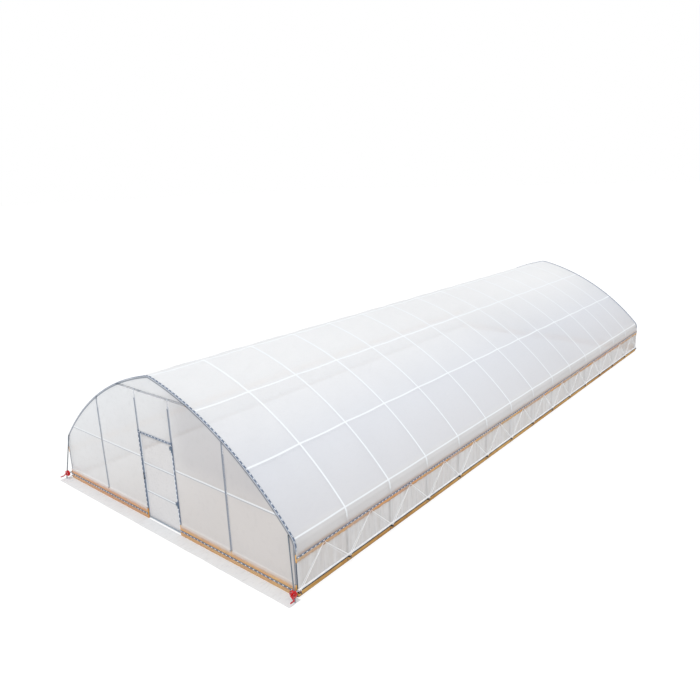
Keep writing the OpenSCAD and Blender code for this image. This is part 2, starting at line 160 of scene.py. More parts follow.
class Finish:
    """A material with one main shader. Its fixed numbers go on the shader's own sockets."""

    def __init__(self, name, **fixed):
        self.material = bpy.data.materials.new(name)
        self.material.use_nodes = True
        self.tree = self.material.node_tree
        self.shader = self.tree.nodes["Principled BSDF"]
        self.start, self.main = Signal(self.tree, None), Signal(self.tree, self.shader.outputs[0])
        self.place = self.start.node("TexCoord", {}, {}, "Object")
        for socket, value in fixed.items():
            self.shader.inputs[socket.replace("_", " ")].default_value = value

    def feed(self, **signals):
        """Links what changes over the surface to the main shader."""
        for socket, signal in signals.items():
            self.tree.links.new(signal.socket, self.shader.inputs[socket.replace("_", " ")])

    def bump(self, height, depth):
        """Raises the surface by the height signal times depth, in metres."""
        self.feed(Normal=height.node("Bump", {}, {"Height": height, "Distance": depth, "Strength": 1.0}))

    def show(self, look):
        """Makes look, a shader, what the surface shows."""
        self.tree.links.new(look.socket, self.tree.nodes["Material Output"].inputs[0])


# ---- Stage: a white floor that keeps a soft shadow, a white surround and one broad lamp
# The lamp stands almost overhead, a little to the front, and the surround lights the rest evenly.
def link_shape(name, bed, material):
    """Turns a bmesh into an object in the scene."""
    mesh = bpy.data.meshes.new(name)
    bed.to_mesh(mesh)
    bed.free()
    mesh.materials.append(material)
    made = bpy.data.objects.new(name, mesh)
    scene.collection.objects.link(made)
    return made


def seen_straight(signal):
    """1 for what is seen straight, in a mirror or through glass, and 0 for light that lights things."""
    path = signal.node("LightPath", {}, {})
    rays = path.socket.node.outputs
    camera_ray, glossy_ray, clear_ray = (Signal(signal.tree, rays["Is " + kind + " Ray"])
                                         for kind in ("Camera", "Glossy", "Transmission"))
    return camera_ray.most(glossy_ray).most(clear_ray)


floor_size, floor_drop, pale_share = 300, 0.002, 0.3
floor_finish = Finish("stage_floor", Roughness=0.9, Specular_IOR_Level=0.0, Base_Color=(0.72, 0.7, 0.68, 1))
floor_start = floor_finish.start
shade_coat = floor_start.node("BsdfDiffuse", {}, {"Color": (pale_share, pale_share, pale_share, 1)})
glow_coat = floor_start.node("Emission", {}, {"Color": (1, 1, 1, 1), "Strength": 0.74})
white_floor = floor_start.node("AddShader", {}, {0: shade_coat, 1: glow_coat})
floor_finish.show(floor_start.node("MixShader", {}, {0: seen_straight(floor_start), 1: floor_finish.main,
                                                     2: white_floor}))
floor_bed = bmesh.new()
floor_place = move((0, 0, -floor_drop))
bmesh.ops.create_grid(floor_bed, x_segments=1, y_segments=1, size=floor_size, matrix=floor_place)
link_shape("floor", floor_bed, floor_finish.material)

world = bpy.data.worlds.new("surround")
world.use_nodes = True
scene.world = world
sky_tree = world.node_tree
sky_tree.nodes.clear()
sky = Signal(sky_tree, None)
sky_light = sky.node("Background", {}, {"Color": (0.975, 0.986, 1.0, 1), "Strength": 0.84})
sky_white = sky.node("Background", {}, {"Color": (1, 1, 1, 1), "Strength": 1.0})
sky_look = sky.node("MixShader", {}, {0: seen_straight(sky), 1: sky_light, 2: sky_white})
sky_end = sky_tree.nodes.new("ShaderNodeOutputWorld")
sky_tree.links.new(sky_look.socket, sky_end.inputs["Surface"])

lamp = bpy.data.objects.new("lamp", bpy.data.lights.new("lamp", "SUN"))
lamp.data.energy = 1.1
lamp.data.angle = radians(25)
lamp.data.color = (1.0, 0.99, 0.975)
lamp.matrix_world = Vector((-0.1, 0.3, -1)).to_track_quat("-Z", "Y").to_matrix().to_4x4()
scene.collection.objects.link(lamp)

# ---- Hoops: round galvanised steel tube, bent cold, one at each end and thirteen between
# The tube is dipped in zinc, which leaves pale crystals that differ a little from place to place.
hoop_r, hoop_count, both = 0.021, 15, (-1, 1)
knee_h, ridge_h, bow_rise, knee_r, peak_r = 1.085, 3.41, 0.37, 0.26, 0.5
half_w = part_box("front_hoop")[1].x - hoop_r
front_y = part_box("front_hoop")[0].y + hoop_r
back_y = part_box("back_hoop")[1].y - hoop_r
bay = (back_y - front_y) / (hoop_count - 1)
hoop_ys = [front_y + i * bay for i in range(hoop_count)]
chord = hypot(half_w, ridge_h - knee_h)
bow_r = (chord ** 2 / 4 + bow_rise ** 2) / (2 * bow_rise)
bow_c = (half_w / 2 - (ridge_h - knee_h) / chord * (bow_r - bow_rise),
         (ridge_h + knee_h) / 2 - half_w / chord * (bow_r - bow_rise))
knee_c = (half_w - knee_r, bow_c[1] + sqrt((bow_r - knee_r) ** 2 - (half_w - knee_r - bow_c[0]) ** 2))
knee_a = atan2(knee_c[1] - bow_c[1], knee_c[0] - bow_c[0])
peak_c = (0.0, bow_c[1] + sqrt((bow_r - peak_r) ** 2 - bow_c[0] ** 2))
peak_a = atan2(peak_c[1] - bow_c[1], -bow_c[0])
peak_l = peak_r * (pi / 2 - peak_a)
bow_l = bow_r * (peak_a - knee_a)
knee_l = knee_r * knee_a
bend_end = peak_l + bow_l + knee_l
arch_l = bend_end + knee_c[1]


def arch_at(s, off, y=0.0):
    """Point at distance s along a hoop from the ridge, to the right if positive, off outside its centre."""
    side, run = (1 if s >= 0 else -1), abs(s)
    if run < peak_l:
        (cx, cz), r, a = peak_c, peak_r, pi / 2 - run / peak_r
    elif run < peak_l + bow_l:
        (cx, cz), r, a = bow_c, bow_r, peak_a - (run - peak_l) / bow_r
    elif run < bend_end:
        (cx, cz), r, a = knee_c, knee_r, knee_a - (run - peak_l - bow_l) / knee_r
    else:
        return Vector((side * (half_w + off), y, knee_c[1] - (run - bend_end)))
    return Vector((side * (cx + (r + off) * cos(a)), y, cz + (r + off) * sin(a)))


def arch_out(s):
    """Outward direction at distance s from the ridge along a hoop."""
    return (arch_at(s, 1.0) - arch_at(s, 0.0)).normalized()


def arch_s(x):
    """Distance from the ridge along a hoop to where its long bow stands x from the middle."""
    return peak_l + bow_r * (peak_a - acos((x - bow_c[0]) / bow_r))


def zinc(name, pale, dull, roughness=0.34, metal=0.72):
    """Zinc-dipped steel: crystals a few millimetres across, with faint streaks and duller patches."""
    finish = Finish(name, Metallic=metal)
    cells = finish.start.node("TexVoronoi", {}, {"Vector": finish.place, "Scale": 140}, 1)
    crystals = cells.node("RGBToBW", {}, {"Color": cells})
    patches = finish.place.grain(0.16)
    streaks = finish.place.grain(0.012, stretch=(1, 0.15, 1))
    tone = crystals * 0.5 + patches * 0.5
    finish.feed(Base_Color=tone.mix(dull, pale),
                Roughness=roughness + (streaks - 0.5) * 0.22 + (patches - 0.5) * 0.16)
    finish.bump(crystals, 0.00008)
    return finish.material


def dress(material, *names):
    """Gives CAD nodes a material."""
    for name in names:
        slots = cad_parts[name].data.materials
        slots.clear()
        slots.append(material)


hoop_zinc = zinc("hoop_zinc", (206, 214, 222), (150, 161, 172))
dress(hoop_zinc, "inner_hoops")

# ---- Purlins and knee rails: bright tube along the whole length, under the hoops
# Each is joined from six-metre lengths with sleeves, and held to every hoop by a cross clamp.
purlin_r, purlin_gap = 0.016, 0.0003
bright_zinc = zinc("bright_zinc", (240, 243, 246), (214, 219, 225), 0.3)
dress(bright_zinc, "ridge_purlin", "upper_purlins", "lower_purlins", "knee_rails")
purlin_drop = hoop_r + purlin_gap + purlin_r
right_lines = [arch_s(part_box(node)[1].x - purlin_r) for node in ("upper_purlins", "lower_purlins")]
right_lines.append(peak_l + bow_l + knee_l / 2)
purlin_lines = [0.0] + right_lines + [-s for s in right_lines]


def add_object(name, bed, material, slot, body="tunnel", smooth=False):
    """Makes a bmesh a piece of the object, with its finish and the body that it rides on."""
    made = link_shape(name, bed, material)
    if smooth:
        made.data.shade_smooth()
    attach(made, body)
    return made


def add_tube(bed, points, radius, sides=8, lay=0.0, lobe=0.0):
    """Adds a tube along points. With a lay it turns once in that distance, and a lobe makes three strands."""
    points = [Vector(p) for p in points]
    run, ring = 0.0, []
    for i, point in enumerate(points):
        ahead = (points[min(i + 1, len(points) - 1)] - points[max(i - 1, 0)]).normalized()
        turn = ahead.to_track_quat("Z", "X").to_matrix().to_4x4()
        run += (point - points[max(i - 1, 0)]).length
        spin = Matrix.Rotation(run / lay * tau if lay else 0.0, 4, "Z")
        if not ring:
            ring = bmesh.ops.create_circle(bed, cap_ends=True, segments=sides, radius=radius)["verts"]
            loop = [v.co * (1 + lobe * (-1) ** k) for k, v in enumerate(ring)]
            edges = list({e for v in ring for e in v.link_edges})
        else:
            made = bmesh.ops.extrude_edge_only(bed, edges=edges)["geom"]
            edges = [g for g in made if isinstance(g, bmesh.types.BMEdge) and len(g.link_faces) == 1]
            fresh = {g for g in made if isinstance(g, bmesh.types.BMVert)}
            ring = [next(e.other_vert(v) for e in v.link_edges if e.other_vert(v) in fresh) for v in ring]
        for vert, co in zip(ring, loop):
            vert.co = point + turn @ (spin @ co)
    bmesh.ops.contextual_create(bed, geom=edges)
    return bed


def add_ring(bed, radius, wall, width, segments=16, place=Matrix.Identity(4)):
    """Adds a flat band round the Z axis of place: a square section, spun."""
    start = len(bed.verts)
    section = bmesh.ops.create_circle(bed, cap_ends=False, segments=4, radius=0.5)["verts"]
    for vert, (across, up) in zip(section, ((0, -1), (1, -1), (1, 1), (0, 1))):
        vert.co = Vector((radius + wall * across, 0, width / 2 * up))
    edges = list({e for v in section for e in v.link_edges})
    bmesh.ops.spin(bed, geom=section + edges, cent=(0, 0, 0), axis=(0, 0, 1), angle=tau, steps=segments,
                   use_merge=True)
    bmesh.ops.remove_doubles(bed, verts=bed.verts, dist=1e-6)
    bed.verts.ensure_lookup_table()
    bmesh.ops.transform(bed, matrix=place, verts=bed.verts[start:])


def add_bolt(bed, place, head, height):
    """Adds a hexagon head with a round washer, standing on the XY plane of place."""
    for radius, low, high, sides in ((head * 1.35, 0.0, height * 0.3, 12), (head, height * 0.3, height, 6)):
        bmesh.ops.create_cone(bed, cap_ends=True, segments=sides, radius1=radius, radius2=radius * 0.94,
                              depth=high - low, matrix=place @ move((0, 0, (low + high) / 2)))


def outward(bed):
    """Turns the faces of closed shapes outwards."""
    bmesh.ops.recalc_face_normals(bed, faces=bed.faces)
    return bed


def repeat(shape, places):
    """A bmesh that holds a closed shape set at each of the places."""
    mesh = bpy.data.meshes.new("shape")
    shape.to_mesh(mesh)
    shape.free()
    whole = bmesh.new()
    for place in places:
        copy = mesh.copy()
        copy.transform(place)
        whole.from_mesh(copy)
        bpy.data.meshes.remove(copy)
    bpy.data.meshes.remove(mesh)
    return outward(whole)


def axes(origin, along, out):
    """The place at origin whose X runs along, and whose Z points out."""
    along, out = Vector(along).normalized(), Vector(out).normalized()
    across = out.cross(along).normalized()
    return move(origin) @ Matrix((along, across, out)).transposed().to_4x4()


to_x, to_y = (Matrix.Rotation(pi / 2, 4, letter) for letter in "YX")
fit, band_wall = 0.0001, 0.0015
clamp = bmesh.new()
add_ring(clamp, purlin_r + 2 * fit, band_wall, 0.034, place=to_x)
add_ring(clamp, hoop_r + fit, band_wall, 0.03, place=move((0, 0, purlin_drop)) @ to_y)
for side in both:
    add_bolt(clamp, axes((0, side * 0.021, 0.004), (1, 0, 0), (0, side, 0.2)), 0.006, 0.009)
clamp_places = [axes(arch_at(s, -purlin_drop, y), (0, 1, 0), arch_out(s))
                for y in hoop_ys for s in purlin_lines]
add_object("cross_clamps", repeat(clamp, clamp_places), bright_zinc, "bright_tube")

tube_length, joint_off, sleeve_l, sleeve_wall = 6.0, 0.5, 0.14, 0.0018
sleeve = bmesh.new()
add_ring(sleeve, purlin_r + fit, sleeve_wall, sleeve_l, place=to_x)
for end in (-0.4, 0.4):
    add_bolt(sleeve, axes((end * sleeve_l, 0, -purlin_r - sleeve_wall), (1, 0, 0), (0, 0, -1)), 0.005, 0.006)
sleeve_places = [axes(arch_at(s, -purlin_drop, front_y + n * tube_length + joint_off), (0, 1, 0), arch_out(s))
                 for n in (1, 2, 3) for s in purlin_lines]
add_object("purlin_sleeves", repeat(sleeve, sleeve_places), hoop_zinc, "bright_tube")

# ---- End wall frames: upright posts, girts at mid height and a collar tie near the ridge
# The posts are hoop tube; the girts and collars lie behind them, in band clamps.
shaded_zinc = zinc("shaded_zinc", (100, 122, 144), (54, 74, 98), 0.42, 0.5)
dress(shaded_zinc, "front_hoop", "back_hoop", "front_collar", "back_collar")
dress(zinc("post_zinc", (186, 200, 218), (136, 150, 172), 0.4, 0.4), "front_posts", "back_posts")
dress(bright_zinc, "front_girts", "back_girt")


def middle(node, axis):
    """The middle of a node's box along x, y or z."""
    low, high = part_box(node)
    return (getattr(low, axis) + getattr(high, axis)) / 2


post_x, side_post_x, band_off = 0.6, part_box("front_posts")[1].x - hoop_r, 0.03
post_xs = (-side_post_x, -post_x, post_x, side_post_x)
girt_z, collar_z, header_z = (middle(node, "z") for node in ("front_girts", "front_collar", "door_header"))
post_band = bmesh.new()
add_ring(post_band, hoop_r + fit, 0.0014, 0.028)
for side in both:
    add_bolt(post_band, axes((side * 0.026, 0.012, 0), (0, 0, 1), (side, 0, 0)), 0.006, 0.008)
band_places = []
for y, facing in ((front_y, 1), (back_y, -1)):
    for x in post_xs:
        for z in [girt_z - band_off, girt_z + band_off] + ([collar_z - band_off] if abs(x) == post_x else []):
            band_places.append(move((x, y, z)) @ Matrix.Scale(facing, 4, (0, 1, 0)))
add_object("post_bands", repeat(post_band, band_places), bright_zinc, "galvanized_tube")

# A pale sleeve with a turned rim joins the top of each post to what stands over it.
post_sleeve_l, rim_w = 0.19, 0.012
sleeve_top = bmesh.new()
add_ring(sleeve_top, hoop_r + fit, 0.0012, post_sleeve_l)
add_ring(sleeve_top, hoop_r + fit, 0.0016, rim_w)
under_bow = bow_c[1] + sqrt((bow_r - hoop_r) ** 2 - (side_post_x - bow_c[0]) ** 2)
top_places = [move((side * x, y, z)) for y in (front_y, back_y) for side in both
              for x, z in ((post_x, collar_z - 0.07), (side_post_x, under_bow - 0.125))]
add_object("post_tops", repeat(sleeve_top, top_places), bright_zinc, "galvanized_tube")

# ---- Timber boards: sawn pine along the feet of the walls and along the hips
# Planks of about four metres butt end to end, and weather browner towards the ground.
plank_l = 4.2


def pine(name, pale, dark, along, low, high, wet=0.5):
    """Sawn softwood, its grain along X or Y: streaks, a few knots, plank ends, and a foot darkened by wet."""
    finish = Finish(name)
    stretch = (0.06, 1, 1) if along == "X" else (1, 0.06, 1)
    streaks = finish.place.grain(0.02, 6.0, stretch)
    fine = finish.place.grain(0.004, 3.0, (stretch[0] * 0.5, stretch[1] * 0.5, 1))
    knots = finish.start.node("TexVoronoi", {}, {"Vector": finish.place.times((0.35, 0.35, 1)), "Scale": 9.0})
    knot = knots.ease(0.04, 0.11, 1.0, 0.0)
    run = finish.place.axis(along)
    end = abs(run % plank_l - plank_l / 2).ease(0.002, 0.005, 1.0, 0.0)
    plank = (finish.place.grain(plank_l, 0.0, (1, 1, 0)) - 0.5) * 0.5
    damp = finish.place.z.ease(low, low + 0.4 * (high - low), wet, 0.0)
    tone = (streaks * 0.75 + fine * 0.25 + plank).ease(0.32, 0.68)
    wood = tone.mix(dark, pale)
    worn = damp.mix(wood, tuple(c * 0.66 for c in dark))
    dark_knot = (knot * 0.7).most(end).mix(worn, (92, 58, 30))
    finish.feed(Base_Color=dark_knot, Roughness=0.62 + fine * 0.25)
    finish.bump(streaks * 0.6 + fine * 0.4 - end * 0.8, 0.0012)
    return finish.material


hip_low, hip_high = (corner.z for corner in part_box("right_hip_board"))
side_board_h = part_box("right_base_board")[1].z
end_board_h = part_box("front_base_boards")[1].z
dress(pine("hip_pine", (255, 200, 92), (246, 162, 60), "Y", hip_low, hip_high),
      "left_hip_board", "right_hip_board")
dress(pine("side_pine", (226, 182, 108), (184, 132, 66), "Y", 0.0, side_board_h),
      "left_base_board", "right_base_board")
dress(pine("end_pine", (255, 200, 84), (240, 154, 44), "X", 0.0, end_board_h, 0.2),
      "front_base_boards", "back_base_board")


def add_bolts(name, head, height, places, material, **how):
    """Makes a piece of like bolts or screws, one at each of the places."""
    bolt = bmesh.new()
    add_bolt(bolt, Matrix.Identity(4), head, height)
    add_object(name, repeat(bolt, places), material, **how)


board_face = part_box("right_base_board")[1].x
screw_places = [axes((side * board_face, y + dy, side_board_h * 0.45), (0, 1, 0), (side, 0, 0))
                for side in both for y in hoop_ys for dy in (-0.05, 0.05)]
add_bolts("board_screws", 0.011, 0.009, screw_places, shaded_zinc, slot="timber")

# ---- Lock channels: rolled zinc strips with a dovetail groove, screwed on over the film
# They run along the hips, up each end arch, along the foot boards and round the doorway.
channel_zinc = zinc("channel_zinc", (158, 172, 194), (104, 120, 146), 0.38, 0.4)
dress(channel_zinc, "left_hip_channel", "right_hip_channel", "front_arch_channel", "back_arch_channel",
      "door_channels", "front_base_channels", "back_base_channel")
hip_channel, arch_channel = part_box("right_hip_channel"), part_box("front_arch_channel")
base_channel, door_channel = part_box("front_base_channels"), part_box("door_channels")
hip_channel_z, base_channel_z = middle("right_hip_channel", "z"), middle("front_base_channels", "z")
wave_l, wire_short = 0.112, 0.01


def straight_waves(start, end, out, sides=(1,)):
    """Places for wave after wave of spring wire along a channel's face from start to end, on each side."""
    places = []
    for side in sides:
        low, high, facing = (Vector((side * x, y, z)) for x, y, z in (start, end, out))
        count = round((high - low).length / wave_l)
        places += [axes(low.lerp(high, i / count), high - low, facing) for i in range(count)]
    return places


forward, backward = (0, -1, 0), (0, 1, 0)
wave_places = straight_waves((hip_channel[1].x, hip_channel[0].y + wire_short, hip_channel_z),
                             (hip_channel[1].x, hip_channel[1].y - wire_short, hip_channel_z),
                             (1, 0, 0), both)
arch_foot = arch_l - arch_channel[0].z
arch_face = arch_channel[1].x - half_w
arch_count = round(2 * arch_foot / wave_l)
for y in (front_y, back_y):
    for i in range(arch_count):
        s = (arch_foot - 2 * wire_short) * (2 * i / arch_count - 1)
        begin, finish = (arch_at(at, arch_face, y) for at in (s, s + wave_l))
        wave_places.append(axes(begin, finish - begin, arch_out(s + 0.5 * wave_l)))
base_y, back_channel_y, door_y = base_channel[0].y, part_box("back_base_channel")[1].y, door_channel[0].y
base_end, header_end = base_channel[1].x - wire_short, post_x - 2 * wire_short
wave_places += straight_waves((post_x + wire_short, base_y, base_channel_z),
                              (base_end, base_y, base_channel_z), forward, both)
wave_places += straight_waves((-base_end, back_channel_y, base_channel_z),
                              (base_end, back_channel_y, base_channel_z), backward)
wave_places += straight_waves((post_x, door_y, door_channel[0].z + wire_short),
                              (post_x, door_y, door_channel[1].z - wire_short), forward, both)
wave_places += straight_waves((-header_end, door_y, header_z), (header_end, door_y, header_z), forward)


def coat(name, first, second, clouds, edges, grain=None, rough=None, depth=0.0, **fixed):
    """A plain finish. Its colour runs from first to second between the edges of a noise, clouds. The finer
    grain, or else the clouds, adds up to rough[1] to a roughness of rough[0], and stands depth high."""
    finish = Finish(name, **fixed)
    tone = finish.place.grain(*clouds)
    fine = finish.place.grain(*grain) if grain else tone
    finish.feed(Base_Color=tone.ease(*edges).mix(first, second))
    if rough:
        finish.feed(Roughness=rough[0] + fine * rough[1])
    if depth:
        finish.bump(fine, depth)
    return finish.material


# Spring wire, coated dark blue: it is bent in flat-topped waves and snaps under both lips of the groove.
wire_r, wire_depth, wire_bend = 0.0022, -0.0035, 0.0085
wire_line = [(share * wave_l, across * wire_bend, wire_depth) for share, across in
             ((0.0, -1), (0.36, -1), (0.46, 1), (0.86, 1), (0.96, -1), (1.0, -1))]
wire_blue = coat("wire_blue", (22, 38, 66), (52, 74, 108), (0.05,), (0.3, 0.7), rough=(0.36, 0.2))
add_object("spring_wires", repeat(add_tube(bmesh.new(), wire_line, wire_r, 5), wave_places), wire_blue,
           "lock_channel")

# Film tucks: between two bends of the wire the locked film stands out of the groove in a small pleat.
tuck_l, tuck_w, tuck_h = 0.5 * wave_l, 0.0198, 0.007
tuck = bmesh.new()
bmesh.ops.create_uvsphere(tuck, u_segments=8, v_segments=4, radius=0.5)
bmesh.ops.scale(tuck, verts=tuck.verts, vec=(tuck_l, tuck_w, tuck_h))
bmesh.ops.translate(tuck, verts=tuck.verts, vec=(tuck_l / 2, 0, 0))
tuck_white = coat("tuck_white", (206, 214, 226), (250, 252, 255), (0.008,), (0.3, 0.6), rough=(0.34, 0.2),
                  depth=0.0012, Specular_IOR_Level=0.4)
add_object("film_tucks", repeat(tuck, wave_places), tuck_white, "clear_film", smooth=True)


# ---- Cover film: clear plastic sheet with a milky finish that spreads the light
# Where it lies on a tube it is denser, and whitened by a painted highlight; it is clearer where it clings to
# timber.
def film(name, tone, body, line_body=1.0, near=None, cling=None, clearing=0.45, shade=None, gloss=0.32,
         lie=(1, 0.35, 1), folds=0.15, glow_share=0.3):
    """Diffusing film in the colours that tone gives. It is denser where near is 1 on a tube, and whitened
    there by a painted highlight; clearer where cling is 1 against a post or board; and greyer with painted
    shade where shade is 1. Its creases run as lie says and are darkened by folds as painted shade, and
    glow_share of its milkiness lets light from the far side through."""
    finish = Finish(name, Specular_IOR_Level=0.42)
    cloud = finish.place.grain(0.9, 2.0)
    crease = finish.place.grain(0.05, 4.0, lie)
    near = near(finish.place) if near else cloud.ease(0.6, 0.8)
    tint = cloud.ease(0.35, 0.75, 0.0, 0.08).mix(tone(finish.place), (196, 198, 204))
    # Painted shade: the film darkens towards grey in its creases, by up to folds.
    tint = crease.ease(0.5, 0.72, 0.0, folds).mix(tint, (150, 148, 150))
    # Painted highlight: the film is whitened where near is 1, over the tubes.
    tint = near.mix(tint, (244, 248, 252))
    if shade:
        # Painted shade, where shade is 1.
        tint = shade(finish.place).mix(tint, (82, 102, 128))
    density = near.ease(0.0, 1.0, body, line_body) + (cloud - 0.5) * 0.08
    if cling:
        density = density - cling(finish.place) * clearing
    finish.feed(Base_Color=tint, Roughness=gloss - 0.06 + crease * 0.16)
    finish.bump(crease, 0.0015)
    glow = finish.start.node("BsdfTranslucent", {}, {"Color": (0.86, 0.87, 0.89, 1)})
    through = near.ease(0.0, 1.0, glow_share, 0.0)
    milky = finish.start.node("MixShader", {}, {0: through, 1: finish.main, 2: glow})
    clear = finish.start.node("BsdfTransparent", {}, {"Color": (0.97, 0.98, 1.0, 1)})
    finish.show(finish.start.node("MixShader", {}, {0: density, 1: clear, 2: milky}))
    return finish.material


def from_hoops(place):
    """Distance along the tunnel from the nearest hoop."""
    return abs((place.y - (front_y - bay / 2)) % bay - bay / 2)


def over_hoops(place, half=0.013, soft=0.014):
    """1 over each hoop."""
    return from_hoops(place).ease(half, half + soft, 1.0, 0.0)


def over_roof_tubes(place):
    """1 over each hoop, purlin and knee rail."""
    near = over_hoops(place) * place.z.ease(knee_c[1] - 0.08, knee_c[1], 0.3, 1.0)
    across = abs(place.x)
    for s in [0.0] + right_lines:
        lean = max(abs(arch_out(s).z), 0.45)
        reach = purlin_r * lean
        over = across.band(arch_at(s, 0.0).x, 0.7 * reach, reach + 0.008 * lean, 0.95)
        near = near.most(over * place.z.ease(knee_c[1] - 0.02, knee_c[1]))
    return near


def roof_painted_light(place):
    """The roof's colours, by height: painted shade greys the steep foot, and painted light whitens it towards
    the ridge.
    """
    return place.node("ValToRGB", {"stops": ((0.25, rgb(206, 203, 202)), (0.31, rgb(230, 229, 229)),
                                             (0.36, rgb(222, 223, 228)), (0.6, rgb(231, 234, 241)),
                                             (0.92, rgb(253, 254, 255)))}, {0: place.z / ridge_h})


def new_sheet(columns, rows, shape):
    """A bmesh grid. Shape says where each point goes, from its shares, 0 to 1, of the width and length."""
    bed = bmesh.new()
    bmesh.ops.create_grid(bed, x_segments=columns, y_segments=rows, size=1)
    for vert in bed.verts:
        vert.co = shape((vert.co.x + 1) / 2, (vert.co.y + 1) / 2)
    return bed


def uneven(x, y, z):
    """Soft noise, -1 to 1, at a place."""
    return noise.noise(Vector((x, y, z)))


def kept(number):
    """The number, kept between 0 and 1."""
    return min(max(number, 0.0), 1.0)


roof_white = film("roof_film", roof_painted_light, 0.93, near=over_roof_tubes, gloss=0.4, folds=0.03)
film_gap, board_gap, face_gap, sag, end_lap = 0.0233, 0.003, 0.0025, 0.013, 0.024
hip_face_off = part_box("right_hip_board")[1].x - half_w + face_gap
leg_l = knee_c[1] - hip_high
half_stations = [0.0]
for length, count in ((peak_l, 4), (bow_l, 44), (knee_l, 8), (leg_l, 6), (hip_high - hip_channel_z, 3)):
    start = half_stations[-1]
    half_stations += [start + length * (i + 1) / count for i in range(count)]
roof_stations = [-s for s in reversed(half_stations[1:])] + half_stations
bay_rows = 16
roof_rows = (hoop_count - 1) * bay_rows + 2


def roof_point(u, v):
    """Where the roof film lies: on the hoops, sagging between them, and over the hip boards' top edges."""
    s = roof_stations[round(u * (len(roof_stations) - 1))]
    side, run = (1 if s >= 0 else -1), abs(s)
    y = front_y + (round(v * roof_rows) - 1) * bay / bay_rows
    y = min(max(y, front_y - end_lap), back_y + end_lap)
    if run > bend_end:
        down = run - bend_end
        top = arch_at(side * bend_end, film_gap, y)
        slant = min(down / leg_l, 1.0)
        x = top.x + side * (hip_face_off - film_gap) * slant
        return Vector((x, y, top.z + (hip_high + board_gap - top.z) * slant - max(down - leg_l, 0.0)))
    t = ((y - front_y) / bay) % 1.0
    hang = sin(pi * t) ** 1.4 if front_y < y < back_y else 0.0
    free = kept((bend_end - run) / 0.5)
    ripple = uneven(s * 0.9, y * 0.8, 3.0) * 0.004
    pull = 0.0016 * sin(s * 19 + 5 * uneven(s, y, 7.0)) * exp(-min(t, 1 - t) * 9)
    return arch_at(s, film_gap - free * hang * (sag - ripple) + free * pull * hang, y)


roof = add_object("roof_cover", new_sheet(len(roof_stations) - 1, roof_rows, roof_point), roof_white,
                  "clear_film", smooth=True)
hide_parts("roof_film")
2 * half_stations[-1]


# ---- End wall films: one sheet a side of the door, one over it, and a whole one at the back
# Each is locked along the arch and the posts, and comes down over the face of the foot board.
def beside_door(place):
    """1 to the left and right of the doorway."""
    return abs(place.x).ease(post_x + 0.02, post_x + 0.03)


def over_frame(place):
    """1 over the girts, where the film is denser and whitened by a painted highlight."""
    return place.z.band(girt_z, purlin_r, purlin_r + 0.01, 0.85) * beside_door(place)


def from_hoop_line(across, up):
    """Distance from the end hoop's centre line: from its bow, or lower down from its knee and leg."""
    round_bow = ((across - bow_c[0]) ** 2 + (up - bow_c[1]) ** 2) ** 0.5 - bow_r
    above_knee, past_knee = up.most(knee_c[1]) - knee_c[1], (across - knee_c[0]).most(0.0)
    round_knee = (past_knee ** 2 + above_knee ** 2) ** 0.5 - knee_r
    knee_top = knee_c[1] + knee_r * sin(knee_a)
    return round_knee + up.ease(knee_top - 0.002, knee_top + 0.002) * (round_bow - round_knee)


def frame_painted_shade(place):
    """Painted shade on the wall film: the end hoop and collar in shade, the shaded left side of each
    post, and the girts' shaded lower edge.
    """
    across, up = place.x, place.z
    under = up.band(girt_z - purlin_r - 0.008, 0.006, 0.014, 0.4) * beside_door(place)
    dark = abs(from_hoop_line(abs(across), up)).ease(0.5 * hoop_r, hoop_r, 0.7, 0.0).most(under)
    below_collar = up.ease(collar_z - 0.2, collar_z - 0.21)
    for x in post_xs:
        # Painted shade down the left side of each post, its shaded side.
        dark = dark.most(across.band(x - 0.7 * hoop_r, 0.6 * hoop_r, hoop_r, 0.85) * below_collar)
    dark = dark.most(up.band(collar_z, purlin_r - 0.004, purlin_r + 0.006, 0.55))
    return dark * up.ease(end_board_h, end_board_h + 0.01)


def over_posts(place):
    """1 over the lit edge of the upright posts, and over the boards at the foot, where the film clings."""
    across, up = place.x, place.z
    lit = [across.band(x + 0.8 * hoop_r, 0.5 * hoop_r, hoop_r) for x in post_xs]
    posts = lit[0].most(lit[1]).most(lit[2]).most(lit[3]) * up.ease(collar_z + 0.02, collar_z, 0.0, 1.0)
    wave = place.grain(0.35, 2.0, (1, 0, 0)) * 0.05
    foot = (up + wave).ease(end_board_h - 0.05, end_board_h + 0.03, 1.0, 0.2)
    foot = foot * up.ease(end_board_h + 0.01, end_board_h + 0.02, 1.0, 0.0)
    return posts.most(foot).most(up.band(collar_z, purlin_r + 0.004, purlin_r + 0.018, 0.9))


def wall_painted_light(place):
    """The wall's colours, in painted light and shade: cool and bright high up on the left, warmer and darker
    towards the lower right, and greyest, in painted shade, on the right above the girt."""
    across = place.x - place.z * 2.0
    lit_to_shaded = across.ease(-7.5, 0.5).mix((249, 252, 255), (221, 216, 213))
    painted_shade_patch = place.x.ease(0.2, 1.2) * place.z.ease(1.3, 1.9, 0.0, 0.5)
    return painted_shade_patch.mix(lit_to_shaded, (188, 186, 190))


wall_white = film("wall_film", wall_painted_light, 0.93, near=over_frame, cling=over_posts, shade=frame_painted_shade, clearing=0.62,
                  lie=(0.5, 1, 0.5), folds=0.05, glow_share=0.12)
film_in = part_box("front_film_over_door")[1].y
wall_reach, foot_z, foot_rows = hoop_r + 0.0015, 0.006, 6


